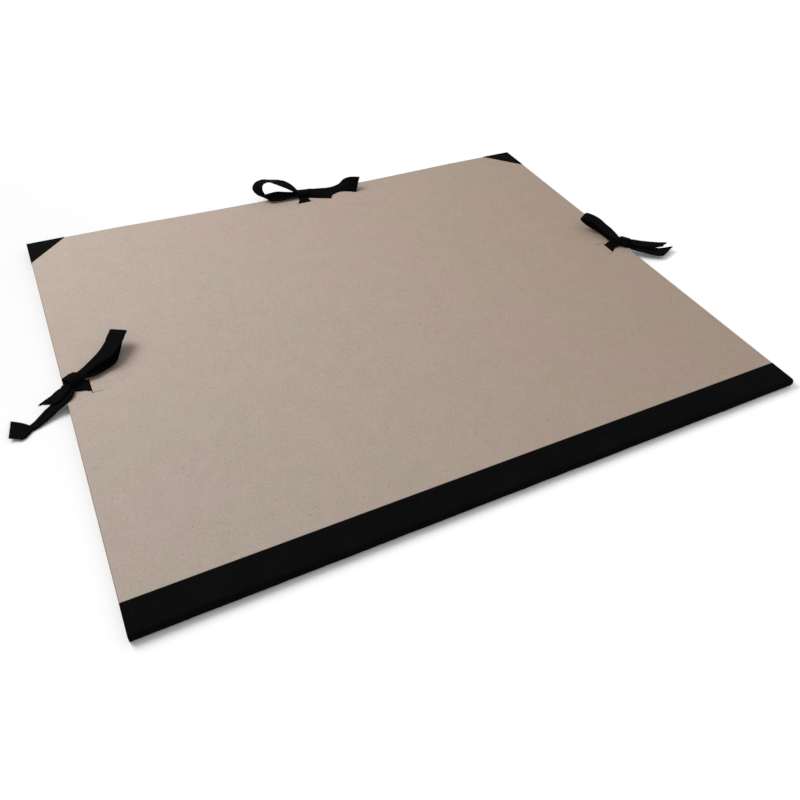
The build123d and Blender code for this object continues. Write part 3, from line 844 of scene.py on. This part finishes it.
def through_cut(tie, inner_face, outward, share):
    """Stations of a tape from its glued end to its cut's outer end, where it keeps the share.

    Outward is +1 for a tape of the cover and -1 for one of the back.
    """
    glued = inner_face - outward * TAPE_HALF
    runs = [(-GLUED_LENGTH, glued, 1), (-3.6, glued, 1), (-1.2, glued, 1),
            (-0.2, inner_face + outward * 0.2, 1),
            (0.1, inner_face + outward * BOARD_THICK / 2, 1),
            (0.4, inner_face + outward * (BOARD_THICK - 0.1), share)]
    return [(out - CUT_INSET, tie.cut_along, up, 90, 0, kept) for out, up, kept in runs]


def front_stations(tie):
    """Stations of a cover's tape, from its glued end to its knot."""
    return [*through_cut(tie, -BOARD_THICK, 1, 0.96),
            (1.6 - CUT_INSET, tie.cut_along, TAPE_HALF + 0.05, 90, 0, 0.92), *LEADS[tie]]


def back_stations(tie):
    """Stations of a back's tape, from its glued end under the back board and up past its edge."""
    cut, riser = tie.cut_along, tie.riser_along
    outer_face = BACK_FACE - BOARD_THICK
    low = outer_face - TAPE_HALF
    return [
        *through_cut(tie, BACK_FACE, -1, 1),
        (1.8 - CUT_INSET, cut, low, 90, 0, 1),
        (4 - CUT_INSET, cut, low, 90, 0, 1),
        (-4, riser + (cut - riser) * 0.2, low, 90, 0, 1),
        (RISER_OUT - 2, riser, low, 90, 0, 1),
        (RISER_OUT - 0.9, riser, low, 90, 0, 1),
        (RISER_OUT, riser, outer_face + 0.7, 90, 0, 1),
        (RISER_OUT, riser, outer_face + 4, 90, 0, 0.75),
        (RISER_OUT, riser, 0.4 - BOARD_THICK, 90, 0, 0.64),
    ]


def over_edge_stations(tie):
    """Stations of the length that goes on from a back's tape, over the cover's edge to its knot."""
    riser, (out, along) = tie.riser_along, tie.knot
    return [
        (RISER_OUT + 0.1, riser, -BOARD_THICK - 1.2, 90, 0, 0.64),
        (RISER_OUT, riser, 0, 90, 0, 0.6),
        (RISER_OUT - 1, riser * 0.9 + along * 0.1, 0.75, 90, 0, 0.55),
        (out * 0.5, (riser + along) / 2, 0.95, 90, 0, 0.5),
        (min(out, -6.5), along, 2.4, 90, 0, 0.45),
    ]


class PORTFOLIO_OT_tapes(bpy.types.Operator):
    """Add the tapes that come out of the boards' cuts and run to the knots"""

    bl_idname = "portfolio.tapes"
    bl_label = "Tapes"

    def execute(self, context):
        for tie in TIES:
            for level, body, stations in (("front", "cover", front_stations),
                                          ("back", "back", back_stations)):
                piece = tape(tie, f"{tie.name}_tape_{level}", stations(tie), body)
                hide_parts(f"{tie.name}_{level}_tape")
            tape(tie, f"{tie.name}_tape_over_edge", over_edge_stations(tie), "cover")
        return {"FINISHED"}


def wrap_stations(tie, start, turns, wide, high, slant, shift, share):
    """Stations of a turn of tape round the knot, climbing on to itself as it goes round."""
    heading = radians(tie.knot_heading)
    count = int(WRAP_STEPS * turns) + 1
    stations = []
    for k in range(count):
        done = k / (count - 1)
        angle = radians(start) + 2 * pi * turns * done
        grow = WRAP_GROWTH * done
        side = (wide + grow) * cos(angle)
        reach = shift + side * tan(radians(slant)) + WRAP_ADVANCE * (done - 0.5)
        off_board = 0.9 + 0.5 * k / count
        stations.append((
            tie.knot[0] + reach * cos(heading) + side * sin(heading),
            tie.knot[1] + reach * sin(heading) - side * cos(heading),
            max(KNOT_UP + (high + grow) * sin(angle), off_board),
            tie.knot_heading + slant + 180, 0, share))
    return stations


class PORTFOLIO_OT_knots(bpy.types.Operator):
    """Add the knots, each a slanted turn of tape over the turn beneath it"""

    bl_idname = "portfolio.knots"
    bl_label = "Knots"

    def execute(self, context):
        for tie in TIES:
            outer, inner = WRAPS[tie]
            under = f"{tie.name}_bow_knot_under"
            tape(tie, under, wrap_stations(tie, *INNER_TURN, *inner), "cover")
            knot = tape(tie, f"{tie.name}_bow_knot", wrap_stations(tie, *OUTER_TURN, *outer),
                        "cover")
            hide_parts(f"{tie.name}_knot")
        return {"FINISHED"}


class PORTFOLIO_OT_bows(bpy.types.Operator):
    """Add each half bow's loop and its two tails"""

    bl_idname = "portfolio.bows"
    bl_label = "Loops and tails"

    def execute(self, context):
        for tie in TIES:
            for kind, stations in (("loop", LOOPS), ("long_tail", LONG_TAILS),
                                   ("short_tail", SHORT_TAILS)):
                piece = tape(tie, f"{tie.name}_bow_{kind}", stations[tie], "cover")
                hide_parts(f"{tie.name}_{kind}")
        return {"FINISHED"}


def frayed_tree(finish):
    """Geometry nodes that stand short curved threads along the lines that they are given."""
    tree = bpy.data.node_groups.new("Frayed Ends", "GeometryNodeTree")
    tree.is_modifier = True
    tree.interface.new_socket("Geometry", in_out="INPUT", socket_type="NodeSocketGeometry")
    for name, value in (("Spacing", 0.8 * MM), ("Length", 2 * MM), ("Thickness", 0.14 * MM),
                        ("Spread", 0.5)):
        item = tree.interface.new_socket(name, in_out="INPUT", socket_type="NodeSocketFloat")
        item.default_value = value
    item = tree.interface.new_socket("Seed", in_out="INPUT", socket_type="NodeSocketInt")
    item.default_value = 1
    tree.interface.new_socket("Geometry", in_out="OUTPUT", socket_type="NodeSocketGeometry")
    given = place(tree, "NodeGroupInput").outputs

    line = place(tree, "GeometryNodeMeshToCurve", {"Mesh": given["Geometry"]})
    roots = place(tree, "GeometryNodeResampleCurve",
                  {"Curve": line.outputs[0], "Length": given["Spacing"]}, mode="LENGTH")

    def scaled(vector, size):
        node = place(tree, "ShaderNodeVectorMath", {0: vector, "Scale": size}, operation="SCALE")
        return node.outputs[0]

    length = given["Length"]
    path = place(tree, "GeometryNodeCurveQuadraticBezier", {
        "Resolution": 4, "Start": scaled((0, 0, -0.15), length),
        "Middle": scaled((0, 0, 0.6), length), "End": scaled((0.35, 0, 1), length)})
    half = calculate(tree, "DIVIDE", given["Thickness"], 2.0)
    ring = place(tree, "GeometryNodeCurvePrimitiveCircle", {"Resolution": 5, "Radius": half})
    thread = place(tree, "GeometryNodeCurveToMesh", {
        "Curve": path.outputs[0], "Profile Curve": ring.outputs[0], "Fill Caps": True})

    outward = place(tree, "GeometryNodeInputNamedAttribute", {"Name": "outward"},
                    data_type="FLOAT_VECTOR")
    lean = place(tree, "FunctionNodeRandomValue", {
        "Min": scaled((-1, -1, -1), given["Spread"]), "Max": scaled((1, 1, 1), given["Spread"]),
        "Seed": given["Seed"]}, data_type="FLOAT_VECTOR")
    way = place(tree, "ShaderNodeVectorMath", {0: outward.outputs[0], 1: lean.outputs[0]},
                operation="ADD")
    aimed = place(tree, "FunctionNodeAlignRotationToVector", {"Vector": way.outputs[0]}, axis="Z")
    twist = place(tree, "FunctionNodeRandomValue", {
        "Max": (0, 0, 2 * pi), "Seed": given["Seed"]}, data_type="FLOAT_VECTOR")
    turned = place(tree, "FunctionNodeEulerToRotation", {"Euler": twist.outputs[0]})
    twisted = place(tree, "FunctionNodeRotateRotation", {
        "Rotation": aimed.outputs[0], "Rotate By": turned.outputs[0]}, rotation_space="LOCAL")
    size = place(tree, "FunctionNodeRandomValue", {2: 0.3, 3: 1.0, "Seed": given["Seed"]},
                 data_type="FLOAT")
    threads = place(tree, "GeometryNodeInstanceOnPoints", {
        "Points": roots.outputs[0], "Instance": thread.outputs[0], "Rotation": twisted.outputs[0],
        "Scale": size.outputs[1]})
    real = place(tree, "GeometryNodeRealizeInstances", {"Geometry": threads.outputs[0]})
    coloured = place(tree, "GeometryNodeSetMaterial", {"Geometry": real.outputs[0]})
    coloured.inputs["Material"].default_value = finish
    place(tree, "NodeGroupOutput", {"Geometry": coloured.outputs[0]})
    return tree


def cut_ends(tie):
    """A mesh of lines along a tie's cut ends, with the way outward at each point."""
    ends = [tape_places(tie, tails[tie])[0][-2:] for tails in (LONG_TAILS, SHORT_TAILS)]
    roots = np.concatenate([end[1] for end in ends])
    outward = np.concatenate([unit(end[1] - end[0]) for end in ends])
    lines = [(i, i + 1) for i in range(len(roots) - 1) if (i + 1) % TAPE_COLUMNS]
    mesh = bpy.data.meshes.new(f"{tie.name} cut ends")
    mesh.from_pydata(roots.tolist(), lines, [])
    mesh.attributes.new("outward", "FLOAT_VECTOR", "POINT").data.foreach_set(
        "vector", outward.astype(np.float32).ravel())
    return mesh


class PORTFOLIO_OT_threads(bpy.types.Operator):
    """Add the loose threads at the tails' cut ends"""

    bl_idname = "portfolio.threads"
    bl_label = "Frayed ends"

    def execute(self, context):
        settings = context.scene.portfolio_tapes
        tree = frayed_tree(material("Loose Thread"))
        sockets = {item.name: item.identifier for item in tree.interface.items_tree
                   if item.in_out == "INPUT"}
        for seed, tie in enumerate(TIES, 5):
            piece = bpy.data.objects.new(f"{tie.name}_bow_end_threads", cut_ends(tie))
            context.scene.collection.objects.link(piece)
            fraying = piece.modifiers.new("Frayed Ends", "NODES")
            fraying.node_group = tree
            fraying[sockets["Length"]] = settings.thread_length
            fraying[sockets["Seed"]] = seed
            view = context.evaluated_depsgraph_get()
            threads = bpy.data.meshes.new_from_object(piece.evaluated_get(view))
            piece.modifiers.remove(fraying)
            piece.data = threads
            threads.shade_smooth()
            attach(piece, "cover")
        return {"FINISHED"}


def white_floor(settings):
    """A pale floor that the camera sees as even white, apart from the portfolio's shadow.

    Its colour for the camera is the white level divided by the light that falls on each place.
    """
    finish = bpy.data.materials.new("Floor")
    finish.use_nodes = True
    tree = finish.node_tree
    tree.nodes.clear()
    spot = place(tree, "ShaderNodeTexCoord").outputs["Object"]
    ray = place(tree, "ShaderNodeVectorMath", {0: spot, 1: KEY_PLACE}, operation="SUBTRACT")
    far = place(tree, "ShaderNodeVectorMath", {0: ray.outputs[0]},
                operation="LENGTH").outputs["Value"]
    forward = unit(np.subtract(KEY_TARGET, KEY_PLACE))
    ahead = place(tree, "ShaderNodeVectorMath", {0: ray.outputs[0], 1: forward},
                  operation="DOT_PRODUCT").outputs["Value"]
    share = calculate(tree, "DIVIDE", ahead, calculate(tree, "POWER", far, 4.0))
    from_lamp = calculate(tree, "MULTIPLY", share, settings.key_power * KEY_PLACE[2] / pi ** 2)
    light = calculate(tree, "ADD", calculate(tree, "MAXIMUM", from_lamp, 0.0), settings.room_light)
    whitened = calculate(tree, "DIVIDE", settings.white_level, light)
    grey = place(tree, "ShaderNodeCombineColor", {0: whitened, 1: whitened, 2: whitened})
    seen = place(tree, "ShaderNodeBsdfDiffuse", {"Color": grey.outputs[0]})
    pale = place(tree, "ShaderNodeBsdfDiffuse", {"Color": (0.8, 0.8, 0.8, 1)})
    rays = place(tree, "ShaderNodeLightPath")
    both = place(tree, "ShaderNodeMixShader", {
        0: rays.outputs["Is Camera Ray"], 1: pale.outputs[0], 2: seen.outputs[0]})
    place(tree, "ShaderNodeOutputMaterial", {"Surface": both.outputs[0]})
    return finish


def soft_room(settings):
    """A world of even light that the camera and reflections see as white."""
    world = bpy.data.worlds.new("Soft room")
    world.use_nodes = True
    tree = world.node_tree
    tree.nodes.clear()
    rays = place(tree, "ShaderNodeLightPath").outputs
    mirrored = calculate(tree, "MAXIMUM", rays["Is Glossy Ray"], rays["Is Transmission Ray"])
    seen = calculate(tree, "MAXIMUM", rays["Is Camera Ray"], mirrored)
    strength = fade(tree, seen, 0.0, 1.0, settings.room_light, 1.0)
    background = place(tree, "ShaderNodeBackground",
                       {"Color": (1, 1, 1, 1), "Strength": strength})
    place(tree, "ShaderNodeOutputWorld", {"Surface": background.outputs[0]})
    return world


def aimed_lamp(settings):
    """A round soft lamp at its place, shining on its target."""
    lamp = bpy.data.lights.new("key", "AREA")
    lamp.shape = "DISK"
    lamp.size = KEY_SIZE
    lamp.energy = settings.key_power
    key = bpy.data.objects.new("key", lamp)
    key.location = KEY_PLACE
    x, y, z = (b - a for a, b in zip(KEY_PLACE, KEY_TARGET))
    key.rotation_euler = (atan2((x * x + y * y) ** 0.5, -z), 0, atan2(y, x) - pi / 2)
    return key


def fitted_camera(settings):
    """The camera, where the photograph was taken from."""
    view = bpy.data.cameras.new("camera")
    view.sensor_width = 36
    view.lens = settings.lens
    camera = bpy.data.objects.new("camera", view)
    camera.location = CAMERA_PLACE
    camera.rotation_euler = [radians(angle) for angle in CAMERA_TURN]
    return camera


class PORTFOLIO_OT_stage(bpy.types.Operator):
    """Add the white floor, the soft light and the camera"""

    bl_idname = "portfolio.stage"
    bl_label = "Stage"

    def execute(self, context):
        scene = context.scene
        settings = scene.portfolio_stage
        mesh = bpy.data.meshes.new("floor")
        corners = [(-1, -1), (1, -1), (1, 1), (-1, 1)]
        mesh.from_pydata([(x * FLOOR_REACH, y * FLOOR_REACH, 0) for x, y in corners], [],
                         [(0, 1, 2, 3)])
        mesh.materials.append(white_floor(settings))
        floor = bpy.data.objects.new("floor", mesh)
        camera = fitted_camera(settings)
        for item in (floor, aimed_lamp(settings), camera):
            scene.collection.objects.link(item)
        scene.world = soft_room(settings)
        scene.camera = camera
        scene.view_settings.view_transform = "Standard"
        return {"FINISHED"}


class PORTFOLIO_PT_panel(bpy.types.Panel):
    """Lists the portfolio's pieces and their settings"""

    bl_idname = "PORTFOLIO_PT_panel"
    bl_label = "Drawing Portfolio"
    bl_space_type = "VIEW_3D"
    bl_region_type = "UI"
    bl_category = "Portfolio"

    def draw(self, context):
        for name, settings in SETTINGS.items():
            box = self.layout.box()
            for prop in settings.__annotations__:
                box.prop(getattr(context.scene, name), prop)
        for operator in OPERATORS:
            self.layout.operator(operator.bl_idname)


SETTINGS = {
    "portfolio_boards": BoardSettings,
    "portfolio_cloth": ClothSettings,
    "portfolio_tapes": TapeSettings,
    "portfolio_stage": StageSettings,
}
OPERATORS = [
    PORTFOLIO_OT_boards, PORTFOLIO_OT_spine, PORTFOLIO_OT_lining, PORTFOLIO_OT_corners,
    PORTFOLIO_OT_tapes, PORTFOLIO_OT_knots, PORTFOLIO_OT_bows, PORTFOLIO_OT_threads,
    PORTFOLIO_OT_stage,
]


def register():
    for settings in SETTINGS.values():
        bpy.utils.register_class(settings)
    for name, settings in SETTINGS.items():
        setattr(bpy.types.Scene, name, PointerProperty(type=settings))
    for made in (*OPERATORS, PORTFOLIO_PT_panel):
        bpy.utils.register_class(made)


def unregister():
    for made in (PORTFOLIO_PT_panel, *reversed(OPERATORS)):
        bpy.utils.unregister_class(made)
    for name in SETTINGS:
        delattr(bpy.types.Scene, name)
    for settings in reversed(SETTINGS.values()):
        bpy.utils.unregister_class(settings)


def main():
    register()
    bpy.ops.portfolio.boards()
    bpy.ops.portfolio.spine()
    bpy.ops.portfolio.lining()
    bpy.ops.portfolio.corners()
    bpy.ops.portfolio.tapes()
    bpy.ops.portfolio.knots()
    bpy.ops.portfolio.bows()
    bpy.ops.portfolio.threads()
    bpy.ops.portfolio.stage()


if __name__ == "__main__":
    main()
